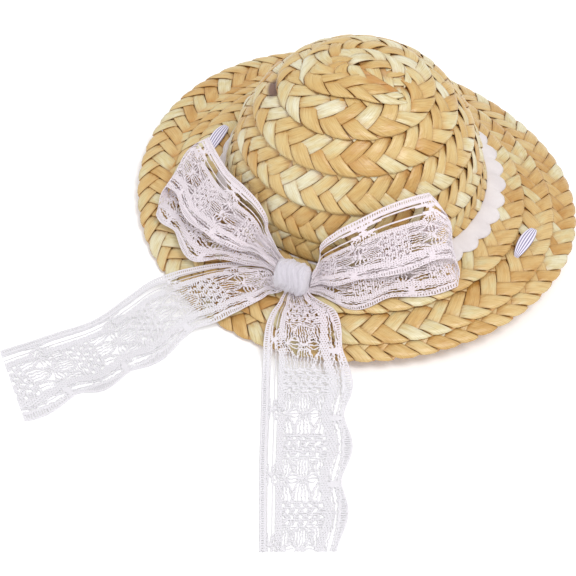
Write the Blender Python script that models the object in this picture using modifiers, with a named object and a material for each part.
"""A small pet's straw hat, lying on a surface with its lace bow and tails spread.

The hat is a hollow crown and a wavy brim of overlapping straw plait, a scalloped
cloth trim round the crown's foot, a bow of scalloped lace with two loops, a knot
and two long tails, and a flat chin elastic that passes through the brim.

Everything is in metres with +Z up. The surface that the hat lies on is z = 0.
Each form is worked out round the crown's axis, and placed() then sets it where
the frame has that axis, so that the origin is under the middle of the whole hat.
"""

import math

import bmesh
import bpy
import numpy as np
from mathutils import Vector

MM = 0.001
COLLECTION = "cat_straw_hat"

# Where the crown's axis stands in the frame
AXIS_X = 22.9 * MM
AXIS_Y = 42.05 * MM

# Clearance between pieces that touch
GAP = 0.3 * MM

# Points worked out on a smooth curve between two rows of a table
SPLINE_STEPS = 24

# Crown: a slightly tapered wall that rounds over into a flat top
CROWN_FOOT_R = 57.6 * MM
CROWN_SHOULDER_R = 46.3 * MM
CROWN_FOOT_Z = 18.0 * MM
CROWN_H = 61.1 * MM
CROWN_ROUNDING = 2.93
CROWN_SQUARENESS = 2.2
CROWN_LEAN_X = -1.4 * MM
CROWN_WALL = 2.6 * MM
CROWN_STEPS = 36
# Share of the crown's height over which its foot is lifted onto the brim
CROWN_SEAT_SHARE = 1 / 6
# Rings of the smooth inside, as shares of the way from the tip to the foot
CROWN_INNER_RINGS = (1.0, 0.8, 0.62, 0.5, 0.4, 0.25, 0.0)
# Points of the profile, closer together where the top rounds over
PROFILE_POINTS = 600
PROFILE_BUNCHING = 2.5
PROFILE_SLOPE_STEP = 0.4 * MM
# Lower edge of each plait row, measured over the crown from its tip
CROWN_ROW_EDGES = (18.3 * MM, 34.4 * MM, 50.2 * MM, 66.0 * MM, 81.5 * MM)

# Brim: a sloping ring whose rim waves up and down twice round
BRIM_R = 100.0 * MM
BRIM_INNER_R = 55.0 * MM
RIM_MEAN_Z = 6.1 * MM
RIM_WAVE = 4.85 * MM
BRIM_WALL = 2.5 * MM
BRIM_EDGE = 1.2 * MM
RIM_FOLDS = 68
RIM_FOLD_DEPTH = 0.8 * MM
# Lower edges of the two upper plait rows: circles that stand a little to one side.
# Columns: radius, how far the circle is moved, and the direction it is moved in
BRIM_ROW_EDGES = (
    (75.8 * MM, 4.3 * MM, math.radians(-95)),
    (86.0 * MM, 8.0 * MM, math.radians(-70)),
)

# Straw rows: each row's lower edge stands proud, its upper edge is tucked in
ROW_PROUD = 0.3 * MM
ROW_TUCK = 0.9 * MM
# Width of the step under an edge, and where and how far in a crown row's slope bends
ROW_STEP = 0.5 * MM
ROW_BEND_AT = 0.35
ROW_BEND_TUCK = 0.65

# Scalloped trim round the crown's foot
TRIM_SCALLOPS = 38
TRIM_INNER_R = 58.7 * MM
TRIM_R = 66.4 * MM
TRIM_SCALLOP = 1.0 * MM
TRIM_WALL = 1.0 * MM
TRIM_RIPPLE = 0.25 * MM
# Turn of the scallops round the crown
TRIM_TURN = math.radians(-2.3)
# Where the trim is narrow: at the back left, and behind the knot.
# Columns: direction, how much narrower, and how sharp the narrowing is
TRIM_NARROWINGS = (
    (math.radians(145), 6.2 * MM, 4),
    (math.radians(-110), 5.0 * MM, 28),
)
TRIM_NARROW_SMOOTHING = 0.7
# Share of the width, height over the brim, share of the scallops and ripples
TRIM_SECTION = (
    (0.0, 2.6 * MM, 0.0),
    (0.25, 1.7 * MM, 0.4),
    (0.66, 1.5 * MM, 0.7),
    (1.0, 1.15 * MM, 1.0),
)

# Bow knot: centre, and half sizes along the rim, out from the crown and up
KNOT_CENTRE = (-25.2 * MM, -68.8 * MM, 22.6 * MM)
KNOT_HALF = (5.0 * MM, 6.3 * MM, 7.4 * MM)
KNOT_GROOVES = 4
KNOT_GROOVE_DEPTH = 0.07

# Lace: one ribbon with a straight border and a scalloped one
LACE_WALL = 1.0 * MM
LACE_REPEAT = 29.6 * MM
# How far each ribbon is cut past a valley of its scallops
LEFT_TAIL_CUT = 8.1 * MM
FRONT_TAIL_CUT = 0.0
LEFT_LOOP_CUT = 18.6 * MM
RIGHT_LOOP_CUT = 3.8 * MM
LACE_SCALLOP = 3.7 * MM
# Distances across the lace from its straight edge, at a valley of the scallops
LACE_COLUMNS = (0.0, 3.0, 8.5, 12.0, 16.5, 21.0, 24.5, 28.0, 32.3)
LACE_SCALLOPED_FROM = 21.0
ROWS_PER_REPEAT = 6
# Sharpness of the scallops' valleys: below 1 they are narrower than the peaks
SCALLOP_POWER = 0.8
# Openings in one repeat: column, first row, rows that stay open
LACE_WINDOWS = ((1, 0, 5), (6, 1, 4), (3, 1, 1), (4, 3, 1), (3, 5, 1))

# Flat chin elastic
ELASTIC_W = 5.0 * MM
ELASTIC_T = 1.2 * MM
HOLE_R = 1.5 * MM
LEG_W = 1.8 * MM
LEG_T = 1.3 * MM
STITCH_RISE = 1.5 * MM
# The stitch's knotted end below the brim: height, width and thickness
STITCH_KNOT = ((-2.4 * MM, 3.4 * MM, 3.0 * MM), (-0.9 * MM, 3.4 * MM, 3.0 * MM))
STITCH_BOW_SHARES = (0.12, 0.3, 0.5, 0.7, 0.88)
STITCH_BOW_FOOT = 0.3
STITCH_OVER_BRIM = 0.9 * MM
ELASTIC_POINTS = 38
ELASTIC_TAPER_POINTS = 5
# Where each stitch goes through the brim: knotted end, then the end that runs on
STITCH_RIGHT = ((69.9 * MM, -43.4 * MM), (80.0 * MM, -25.5 * MM))
STITCH_LEFT = ((-68.0 * MM, 9.4 * MM), (-60.4 * MM, 26.9 * MM))

# Route of the elastic on the surface under the hat, in mm from the crown's axis
ELASTIC_ROUTE = (
    (80.0, -25.5, 10.1),
    (80.3, -24.0, 7.4),
    (81.0, -20.5, 4.2),
    (81.9, -15.0, 1.8),
    (82.3, -7.0, 0.8),
    (81.5, 6.0, 0.65),
    (77.0, 27.0, 0.65),
    (67.0, 46.0, 0.65),
    (51.0, 61.0, 0.65),
    (30.0, 71.0, 0.65),
    (8.0, 75.0, 0.65),
    (-14.0, 72.5, 0.65),
    (-34.0, 63.5, 0.65),
    (-49.0, 51.0, 0.75),
    (-57.5, 41.0, 1.6),
    (-60.8, 34.5, 4.4),
    (-61.2, 30.0, 8.6),
    (-60.6, 27.3, 12.4),
    (-60.4, 26.9, 14.1),
)

# Left tail, in mm: straight edge x, y, z, then scalloped side x, y, z
LEFT_TAIL = (
    (-31.4, -69.9, 20.4, -32.1, -72.0, 17.0),
    (-37.0, -57.4, 18.4, -36.3, -69.9, 13.1),
    (-44.8, -55.1, 16.2, -40.7, -72.7, 10.9),
    (-52.5, -53.8, 13.9, -46.5, -74.1, 9.2),
    (-61.2, -53.1, 11.4, -52.8, -75.2, 7.4),
    (-69.8, -53.4, 8.8, -61.4, -79.7, 3.8),
    (-78.5, -54.6, 5.9, -70.5, -86.2, 2.6),
    (-87.8, -57.9, 3.4, -79.8, -94.0, 0.9),
    (-96.7, -65.8, 1.6, -89.2, -103.1, 0.5),
    (-110.2, -79.0, 0.5, -101.0, -110.7, 0.5),
    (-128.2, -88.3, 0.5, -111.8, -117.6, 0.5),
    (-145.8, -97.3, 0.5, -130.8, -129.0, 0.5),
)

# Front tail, in mm: straight edge x, y, z, then scalloped side x, y, z
FRONT_TAIL = (
    (-30.6, -73.6, 15.3, -24.0, -76.0, 15.3),
    (-31.9, -75.3, 13.0, -16.3, -75.0, 14.8),
    (-34.6, -78.5, 10.6, -11.3, -78.3, 14.1),
    (-36.4, -83.9, 8.8, -8.3, -84.4, 12.9),
    (-37.0, -90.3, 6.7, -5.1, -92.1, 11.0),
    (-36.9, -93.5, 5.4, -4.1, -99.4, 8.4),
    (-36.8, -97.5, 2.2, -3.6, -104.9, 4.0),
    (-36.8, -105.5, 0.6, -3.1, -112.9, 1.2),
    (-36.4, -117.9, 0.5, -2.7, -124.6, 0.5),
    (-35.6, -147.5, 0.5, -3.8, -156.9, 0.5),
    (-33.7, -184.1, 0.5, -5.0, -182.1, 0.5),
)

# Left loop, in mm: crown side x, y, z, then outer side x, y, z
LEFT_LOOP = (
    (-28.9, -63.2, 27.6, -29.7, -65.3, 21.6),
    (-31.8, -56.4, 27.5, -39.2, -56.5, 19.8),
    (-36.9, -45.2, 26.8, -48.6, -54.4, 18.0),
    (-39.7, -40.1, 34.8, -59.0, -53.0, 15.0),
    (-45.8, -32.2, 36.2, -70.0, -50.5, 10.7),
    (-55.0, -16.7, 30.8, -79.4, -38.5, 10.1),
    (-67.1, 11.7, 25.0, -88.8, -24.6, 9.7),
)

# Right loop, in mm: crown side x, y, z, then outer side x, y, z
RIGHT_LOOP = (
    (-19.1, -67.8, 27.6, -20.5, -71.6, 17.6),
    (-15.5, -58.2, 30.0, -13.6, -73.3, 15.8),
    (-9.2, -55.4, 35.7, -3.9, -78.2, 15.2),
    (-1.4, -53.9, 42.3, 4.8, -78.3, 15.7),
    (8.0, -50.9, 47.9, 15.5, -74.5, 16.9),
    (18.1, -47.0, 50.2, 29.7, -71.0, 17.4),
    (26.9, -43.1, 49.4, 43.7, -66.5, 17.4),
)

LOOP_OPENING = 5.2 * MM
LOOP_ROOT_OPENING = 1.7 * MM
LOOP_FOLD_STEPS = 3
LOOP_STEPS = 12
LOOP_SHIFT = 0.11
# Swell of the opening from the root: the sine's reach in radians and its power
LOOP_SWELL = (1.9, 1.2)
# Rows next to the knot and the fold that stay closed
CLOSED_AT_KNOT = 3
# Gathers: how high they stand and how far from the knot they are highest
LOOP_RIPPLE = 0.9 * MM
LOOP_GATHER = 14 * MM
TAIL_RIPPLE = 0.5 * MM
TAIL_GATHER = 14 * MM


def material(name, colour, roughness):
    """A Principled material with one colour."""
    made = bpy.data.materials.new(name)
    made.use_nodes = True
    shader = made.node_tree.nodes["Principled BSDF"]
    shader.inputs["Base Color"].default_value = (*colour, 1.0)
    shader.inputs["Roughness"].default_value = roughness
    shader.inputs["Metallic"].default_value = 0.0
    return made


def placed(points):
    """Points given round the crown's axis, moved to where that axis stands."""
    return np.asarray(points, float) + np.array([AXIS_X, AXIS_Y, 0.0])


def node_from(name, bm, finish, collection):
    """An object in the collection from a bmesh whose faces point outwards."""
    mesh = bpy.data.meshes.new(name)
    bm.to_mesh(mesh)
    bm.free()
    obj = bpy.data.objects.new(name, mesh)
    mesh.materials.append(finish)
    mesh.shade_smooth()
    mesh.set_sharp_from_angle(angle=math.radians(40))
    collection.objects.link(obj)
    return obj


def smooth_rows(rows, count):
    """Rows of numbers resampled by a Catmull-Rom curve at equal steps of length."""
    rows = np.asarray(rows, float)
    ends = np.vstack([2 * rows[0] - rows[1], rows, 2 * rows[-1] - rows[-2]])
    fine = []
    for i in range(1, len(ends) - 2):
        t = np.linspace(0, 1, SPLINE_STEPS, endpoint=False)[:, None]
        a, b, c, d = ends[i - 1], ends[i], ends[i + 1], ends[i + 2]
        fine.append(0.5 * (2 * b + (c - a) * t + (2 * a - 5 * b + 4 * c - d) * t**2
                           + (3 * b - a - 3 * c + d) * t**3))
    fine = np.vstack([*fine, rows[-1:]])
    length = np.concatenate([[0], np.cumsum(np.linalg.norm(np.diff(fine, axis=0), axis=1))])
    at = np.linspace(0, length[-1], count)
    return np.stack([np.interp(at, length, fine[:, k]) for k in range(rows.shape[1])], axis=1)


def crown_profile():
    """Distance over the crown from its tip, radius and height of its outer form."""
    t = 1 - np.linspace(0, 1, PROFILE_POINTS) ** PROFILE_BUNCHING
    taper = CROWN_FOOT_R + (CROWN_SHOULDER_R - CROWN_FOOT_R) * t
    radius = taper * np.maximum(1 - t**CROWN_ROUNDING, 0) ** (1 / CROWN_SQUARENESS)
    height = CROWN_FOOT_Z + CROWN_H * t
    steps = np.hypot(np.diff(radius), np.diff(height))
    return np.concatenate([[0], np.cumsum(steps)]), radius, height


def crown_outline(distances, offsets):
    """Radius and height at some distances from the tip, moved along the outward normal."""
    length, radius, height = crown_profile()
    r = np.interp(distances, length, radius)
    z = np.interp(distances, length, height)
    step = PROFILE_SLOPE_STEP
    dr = np.interp(distances + step, length, radius) - np.interp(distances - step, length, radius)
    dz = np.interp(distances + step, length, height) - np.interp(distances - step, length, height)
    size = np.hypot(dr, dz)
    return np.stack([r - offsets * dz / size, z + offsets * dr / size], axis=1)


def rim_z(angle):
    """Height of the middle of the rim: two low sides lie on the surface."""
    return RIM_MEAN_Z - RIM_WAVE * np.sin(2 * angle)


def brim_z(x, y):
    """Height of the middle of the brim's wall, straight from the crown's foot to the rim."""
    share = np.maximum((np.hypot(x, y) - CROWN_FOOT_R) / (BRIM_R - CROWN_FOOT_R), 0)
    return CROWN_FOOT_Z * (1 - share) + rim_z(np.arctan2(y, x)) * share


def spun(profile, steps):
    """A bmesh that turns a profile of radius and height once round the crown's axis."""
    bm = bmesh.new()
    verts = [bm.verts.new((r, 0.0, z)) for r, z in profile]
    edges = [bm.edges.new(pair) for pair in zip(verts[:-1], verts[1:])]
    bmesh.ops.spin(bm, geom=verts + edges, cent=(0, 0, 0), axis=(0, 0, 1),
                   angle=2 * math.pi, steps=steps, use_merge=True, use_duplicate=False)
    bmesh.ops.remove_doubles(bm, verts=bm.verts, dist=1e-6)
    bmesh.ops.recalc_face_normals(bm, faces=bm.faces)
    return bm


def moved(bm, rule):
    """Moves every vertex of a bmesh by a rule from its place to its new place."""
    for vert in bm.verts:
        vert.co = Vector(rule(*vert.co))


def crown(collection, finish):
    """The hollow crown: a stepped outside of overlapping rows and a smooth inside."""
    foot = crown_profile()[0][-1]
    distances = [0.0]
    offsets = [0.0]
    row_top = 0.0
    for edge in (*CROWN_ROW_EDGES, foot):
        tuck = 0.0 if row_top == 0 else ROW_TUCK
        distances += [row_top + ROW_BEND_AT * (edge - row_top), edge]
        offsets += [ROW_PROUD - ROW_BEND_TUCK * tuck, ROW_PROUD]
        if edge < foot:
            distances.append(edge + ROW_STEP)
            offsets.append(ROW_PROUD - ROW_TUCK)
        row_top = edge
    outer = crown_outline(np.array(distances), np.array(offsets))
    outer[0, 0] = 0.0
    inner_at = foot * np.array(CROWN_INNER_RINGS)
    inner = crown_outline(inner_at, np.full(len(inner_at), -CROWN_WALL))
    inner[-1, 0] = 0.0
    bm = spun(np.vstack([outer, inner]), CROWN_STEPS)
    lift = BRIM_WALL / 2 + GAP

    def lean(x, y, z):
        share = (z - CROWN_FOOT_Z) / CROWN_H
        seat = lift * max(0.0, 1 - share / CROWN_SEAT_SHARE)
        x2, y2, z2 = placed((x + CROWN_LEAN_X * share, y, z + seat))
        return x2, y2, max(z2, CROWN_FOOT_Z + lift)

    moved(bm, lean)
    return node_from("crown", bm, finish, collection)


def brim(collection, finish):
    """The brim: three overlapping rows, folded straw round the rim and a plain underside.

    A profile is turned round the axis, and its two row edges are then moved onto circles
    that stand to one side, with everything between them spread evenly.
    """
    half = BRIM_WALL / 2
    edges = [edge for edge, _, _ in BRIM_ROW_EDGES]
    top = [(BRIM_INNER_R, half), (edges[0], half)]
    for edge, following in zip(edges, (*edges[1:], BRIM_R - BRIM_EDGE)):
        top.append((edge + ROW_STEP, half - ROW_TUCK))
        top.append((following, half))
    rim = [(BRIM_R, 0.0)]
    under = [(BRIM_R - BRIM_EDGE, -half), (edges[0], -half), (BRIM_INNER_R, -half)]
    bm = spun([*top, *rim, *under, top[0]], 2 * RIM_FOLDS)

    def wave(x, y, z):
        r, angle = math.hypot(x, y), math.atan2(y, x)
        fold = round(angle * RIM_FOLDS / math.pi) % 2
        share = max(0.0, (r - edges[1]) / (BRIM_R - edges[1]))
        there = [edge + side * math.cos(angle - way) for edge, side, way in BRIM_ROW_EDGES]
        r2 = np.interp(r, (BRIM_INNER_R, *edges, BRIM_R), (BRIM_INNER_R, *there, BRIM_R))
        r2 -= fold * RIM_FOLD_DEPTH * share
        x2, y2 = r2 * math.cos(angle), r2 * math.sin(angle)
        return placed((x2, y2, brim_z(x2, y2) + z))

    moved(bm, wave)
    return node_from("brim", bm, finish, collection)


def trim(collection, finish):
    """The trim: a soft ring that lies on the brim, with scallops and small ripples."""
    steps = 2 * TRIM_SCALLOPS
    angle = TRIM_TURN + np.arange(steps) * 2 * math.pi / steps
    width = np.full(steps, TRIM_R - TRIM_INNER_R)
    wave = np.cos(TRIM_SCALLOPS * (angle - TRIM_TURN))
    for way, narrowing, sharpness in TRIM_NARROWINGS:
        narrow = (0.5 + 0.5 * np.cos(angle - way)) ** sharpness
        width -= narrowing * narrow
        wave *= 1 - TRIM_NARROW_SMOOTHING * narrow
    bm = bmesh.new()
    rings = []
    for out, over, share in TRIM_SECTION:
        radius = TRIM_INNER_R + width * out + TRIM_SCALLOP * share * wave
        x, y = radius * np.cos(angle), radius * np.sin(angle)
        z = brim_z(x, y) + BRIM_WALL / 2 + over + TRIM_RIPPLE * share * wave
        ring = placed(np.stack([x, y, z], axis=1))
        rings.append([bm.verts.new(point) for point in ring])
    for near, far in zip(rings[:-1], rings[1:]):
        for i in range(steps):
            j = (i + 1) % steps
            bm.faces.new((near[i], far[i], far[j], near[j]))
    obj = node_from("crown_trim", bm, finish, collection)
    wall(obj, TRIM_WALL)
    return obj


def wall(obj, thickness):
    """Gives a surface its thickness, half to each side."""
    made = obj.modifiers.new("wall", "SOLIDIFY")
    made.thickness = thickness
    made.offset = 0.0
    made.use_even_offset = True


def scallop(along):
    """How far the scalloped edge stands out at a distance along the lace."""
    return LACE_SCALLOP * (0.5 - 0.5 * np.cos(2 * math.pi * along / LACE_REPEAT)) ** SCALLOP_POWER


def lace_across(along):
    """Places of the lace's columns, as shares of its width at a valley, along the lace."""
    columns = np.array(LACE_COLUMNS)
    reach = (columns >= LACE_SCALLOPED_FROM) * (columns - LACE_SCALLOPED_FROM)
    reach = reach / reach.max()
    shares = columns[None] * MM + reach[None] * scallop(along)[:, None]
    return shares / (columns[-1] * MM)


def window_cells(first, last, repeat_row):
    """The grid cells that are left open, from row first up to row last.

    repeat_row tells which row of the lace's repeat a row of the grid is.
    """
    cells = set()
    for row in range(first, last):
        for column, start, length in LACE_WINDOWS:
            if start <= repeat_row(row) % ROWS_PER_REPEAT < start + length:
                cells.add((row, column))
    return cells


def gathered(along, reach):
    """How strong the gathers are: none at the knot, full at reach, then fading."""
    share = along / reach
    return share * np.exp(1 - share)


def sheet(name, grid, open_cells, finish, collection):
    """A walled sheet from a grid of points, with some of its cells left open."""
    bm = bmesh.new()
    verts = [[bm.verts.new(point) for point in placed(row)] for row in grid]
    for i in range(len(verts) - 1):
        for j in range(len(verts[0]) - 1):
            if (i, j) not in open_cells:
                corners = (verts[i][j], verts[i][j + 1], verts[i + 1][j + 1], verts[i + 1][j])
                bm.faces.new(corners)
    obj = node_from(name, bm, finish, collection)
    wall(obj, LACE_WALL)
    return obj


def tail(name, rows, cut, finish, collection):
    """A lace tail: gathered at the knot, over the brim, then flat on the surface."""
    rough = smooth_rows(np.array(rows) * MM, 200)
    middle = (rough[:, :3] + rough[:, 3:]) / 2
    length = np.linalg.norm(np.diff(middle, axis=0), axis=1).sum()
    count = round(length / LACE_REPEAT * ROWS_PER_REPEAT) + 1
    rails = smooth_rows(np.array(rows) * MM, count)
    along = np.linspace(0, length, count)
    across = lace_across(length - along + cut)
    straight, scalloped = rails[:, None, :3], rails[:, None, 3:]
    grid = straight + (scalloped - straight) * across[:, :, None]
    gather = gathered(along, TAIL_GATHER)[:, None]
    grid[:, :, 2] += TAIL_RIPPLE * gather * (1 - np.cos(3 * math.pi * across))
    grid[:, :, 2] = np.maximum(grid[:, :, 2], LACE_WALL / 2)
    cut_rows = round(cut / LACE_REPEAT * ROWS_PER_REPEAT)
    cells = window_cells(CLOSED_AT_KNOT + 1, count - 2, lambda row: count - 2 - row + cut_rows)
    return sheet(name, grid, cells, finish, collection)


def loop(name, rows, side, cut, finish, collection):
    """A bow loop: out from the knot, round a soft fold and back below itself."""
    u_out = np.linspace(0, 1, LOOP_STEPS + 1)
    rails = smooth_rows(np.array(rows) * MM, LOOP_STEPS + 1)
    middle = (rails[:, :3] + rails[:, 3:]) / 2
    along = np.gradient(middle, axis=0)
    across = rails[:, 3:] - rails[:, :3]
    normal = np.cross(along, across) * side
    normal /= np.linalg.norm(normal, axis=1, keepdims=True)
    along /= np.linalg.norm(along, axis=1, keepdims=True)
    swell = np.sin(LOOP_SWELL[0] * u_out) ** LOOP_SWELL[1]
    opening = LOOP_ROOT_OPENING + (LOOP_OPENING - LOOP_ROOT_OPENING) * swell
    length = np.linalg.norm(np.diff(middle, axis=0), axis=1).sum()
    columns = len(LACE_COLUMNS)

    def layer(at, lift, shift, reach, ribbon):
        width = lace_across(ribbon + cut) * (1 - LOOP_SHIFT) * LACE_COLUMNS[-1] * MM
        share = width / (LACE_COLUMNS[-1] * MM + LACE_SCALLOP) + shift
        base = rails[at, None, :3] + across[at, None] * share[:, :, None]
        gather = gathered(u_out[at] * length, LOOP_GATHER)[:, None]
        height = lift[:, None] + LOOP_RIPPLE * gather * np.cos(3 * math.pi * share)
        return base + normal[at, None] * height[:, :, None] + along[at, None] * reach[:, None, None]

    out = np.arange(LOOP_STEPS + 1)
    turn = np.linspace(math.pi / 2, -math.pi / 2, LOOP_FOLD_STEPS + 2)[1:-1]
    bend = np.full(LOOP_FOLD_STEPS, LOOP_STEPS)
    radius = opening[-1] / 2
    there = layer(out, opening, 0.0, 0.0 * out, u_out * length)
    fold = layer(bend, radius * (1 + np.sin(turn)), LOOP_SHIFT / 2, radius * np.cos(turn),
                 np.full(LOOP_FOLD_STEPS, length))
    back = layer(out[::-1], 0.0 * opening, LOOP_SHIFT, 0.0 * out, (2 - u_out[::-1]) * length)
    grid = np.vstack([there, fold, back]).reshape(-1, columns, 3)
    cells = window_cells(CLOSED_AT_KNOT, LOOP_STEPS - 1, lambda row: row)
    back_start = LOOP_STEPS + LOOP_FOLD_STEPS + 3
    cells |= window_cells(back_start, len(grid) - 2 - CLOSED_AT_KNOT, lambda row: row)
    return sheet(name, grid, cells, finish, collection)


def knot(collection, finish):
    """The knot: a gathered wrap, barrel-shaped, with grooves that run round it."""
    bm = bmesh.new()
    bmesh.ops.create_uvsphere(bm, u_segments=18, v_segments=11, radius=1.0)
    out = Vector((KNOT_CENTRE[0], KNOT_CENTRE[1], 0)).normalized()
    rim_way = Vector((out.y, -out.x, 0))

    def wrap(x, y, z):
        groove = 1 - KNOT_GROOVE_DEPTH * (0.5 - 0.5 * math.cos(2 * math.pi * KNOT_GROOVES * (z + 1) / 2))
        barrel = groove * (1 - z**4) ** 0.25 / max((1 - z**2) ** 0.5, 1e-6) if abs(z) < 0.999 else 0.0
        place = (rim_way * (z * KNOT_HALF[0]) + out * (x * barrel * KNOT_HALF[1])
                 + Vector((0, 0, y * barrel * KNOT_HALF[2])))
        return placed(Vector(KNOT_CENTRE) + place)

    moved(bm, wrap)
    return node_from("bow_knot", bm, finish, collection)


def flat_strip(name, path, widths, thicknesses, finish, collection):
    """A flat elastic carried along a path, its width level and square to the path."""
    path = np.asarray(path)
    along = np.gradient(path, axis=0)
    along /= np.linalg.norm(along, axis=1, keepdims=True)
    chord = path[-1] - path[0]
    level = np.stack([along[:, 0], along[:, 1], np.zeros(len(path))], axis=1)
    weak = np.linalg.norm(level, axis=1) < 0.2
    level[weak] = chord * [1, 1, 0] / np.linalg.norm(chord[:2])
    level /= np.linalg.norm(level, axis=1, keepdims=True)
    side = np.stack([-level[:, 1], level[:, 0], np.zeros(len(path))], axis=1)
    side -= along * (side * along).sum(1, keepdims=True)
    up = np.cross(along, side)
    corners = ((1, -0.5), (1, 0.5), (0.7, 1), (-0.7, 1), (-1, 0.5), (-1, -0.5), (-0.7, -1), (0.7, -1))
    bm = bmesh.new()
    rings = []
    for i, place in enumerate(placed(path)):
        ring = [place + side[i] * a * widths[i] / 2 + up[i] * b * thicknesses[i] / 2
                for a, b in corners]
        rings.append([bm.verts.new(point) for point in ring])
    for near, far in zip(rings[:-1], rings[1:]):
        for i in range(len(corners)):
            j = (i + 1) % len(corners)
            bm.faces.new((near[i], near[j], far[j], far[i]))
    bm.faces.new(rings[0][::-1])
    bm.faces.new(rings[-1])
    bmesh.ops.recalc_face_normals(bm, faces=bm.faces)
    return node_from(name, bm, finish, collection)


def stitch(name, ends, finish, collection):
    """The elastic where it shows on the brim: up through one hole, over, and down the next."""
    (x0, y0), (x1, y1) = ends
    under0 = brim_z(x0, y0) - BRIM_WALL / 2
    under1 = brim_z(x1, y1) - BRIM_WALL / 2
    leg_foot = -GAP
    leg_top = BRIM_WALL + 0.1 * MM
    # Share of the way between the holes, height over the brim's underside, width, thickness
    rows = [(0.0, *size) for size in STITCH_KNOT]
    rows += [(0.0, z, LEG_W, LEG_T) for z in (leg_foot, leg_top)]
    for share in STITCH_BOW_SHARES:
        bow = math.sin(math.pi * share)
        width = LEG_W + (ELASTIC_W - LEG_W) * bow**0.6
        over = STITCH_OVER_BRIM + STITCH_RISE * (bow - STITCH_BOW_FOOT)
        rows.append((share, BRIM_WALL + over, width, ELASTIC_T))
    rows += [(1.0, z, LEG_W, LEG_T) for z in (leg_top, leg_foot - 0.1 * MM)]
    path = [(x0 + (x1 - x0) * s, y0 + (y1 - y0) * s, under0 + (under1 - under0) * s + z)
            for s, z, _, _ in rows]
    return flat_strip(name, path, [r[2] for r in rows], [r[3] for r in rows], finish, collection)


def chin_elastic(collection, finish):
    """The chin elastic: down from one side of the brim, round on the surface, and up."""
    path = smooth_rows(np.array(ELASTIC_ROUTE) * MM, ELASTIC_POINTS)
    point = np.arange(ELASTIC_POINTS)
    swell = np.clip(np.minimum(point, point[::-1]) / ELASTIC_TAPER_POINTS, 0, 1)
    widths = LEG_W + (ELASTIC_W - LEG_W) * swell
    thicknesses = np.full(ELASTIC_POINTS, ELASTIC_T)
    return flat_strip("chin_elastic", path, widths, thicknesses, finish, collection)


def cut_holes(target, cutters):
    """Cuts the four small holes that the elastic passes through."""
    for x, y in (*STITCH_RIGHT, *STITCH_LEFT):
        bm = bmesh.new()
        bmesh.ops.create_cone(bm, cap_ends=True, segments=8, radius1=HOLE_R, radius2=HOLE_R,
                              depth=4 * BRIM_WALL)
        centre = placed((x, y, brim_z(x, y)))
        bmesh.ops.translate(bm, verts=bm.verts, vec=centre)
        mesh = bpy.data.meshes.new("elastic_hole")
        bm.to_mesh(mesh)
        bm.free()
        cutter = bpy.data.objects.new("elastic_hole", mesh)
        cutter.hide_render = True
        cutter.display_type = "WIRE"
        cutters.objects.link(cutter)
        cut = target.modifiers.new("elastic_hole", "BOOLEAN")
        cut.operation = "DIFFERENCE"
        cut.object = cutter


def main():
    """Builds the hat in an empty scene."""
    for obj in list(bpy.data.objects):
        bpy.data.objects.remove(obj)
    parts = bpy.data.collections.new(COLLECTION)
    cutters = bpy.data.collections.new("cutters")
    bpy.context.scene.collection.children.link(parts)
    bpy.context.scene.collection.children.link(cutters)
    straw = material("plaited_straw", (0.74, 0.55, 0.27), 0.5)
    brim_straw = material("plaited_straw_brim", (0.72, 0.52, 0.25), 0.5)
    lace = material("white_lace", (0.86, 0.84, 0.88), 0.8)
    soft = material("white_trim_cloth", (0.88, 0.82, 0.83), 0.85)
    elastic = material("ribbed_elastic", (0.66, 0.62, 0.76), 0.6)
    crown(parts, straw)
    cut_holes(brim(parts, brim_straw), cutters)
    trim(parts, soft)
    knot(parts, lace)
    loop("bow_loop_left", LEFT_LOOP, 1, LEFT_LOOP_CUT, lace, parts)
    loop("bow_loop_right", RIGHT_LOOP, -1, RIGHT_LOOP_CUT, lace, parts)
    tail("bow_tail_left", LEFT_TAIL, LEFT_TAIL_CUT, lace, parts)
    tail("bow_tail_front", FRONT_TAIL, FRONT_TAIL_CUT, lace, parts)
    stitch("elastic_stitch_right", STITCH_RIGHT, elastic, parts)
    stitch("elastic_stitch_left", STITCH_LEFT, elastic, parts)
    chin_elastic(parts, elastic)


main()
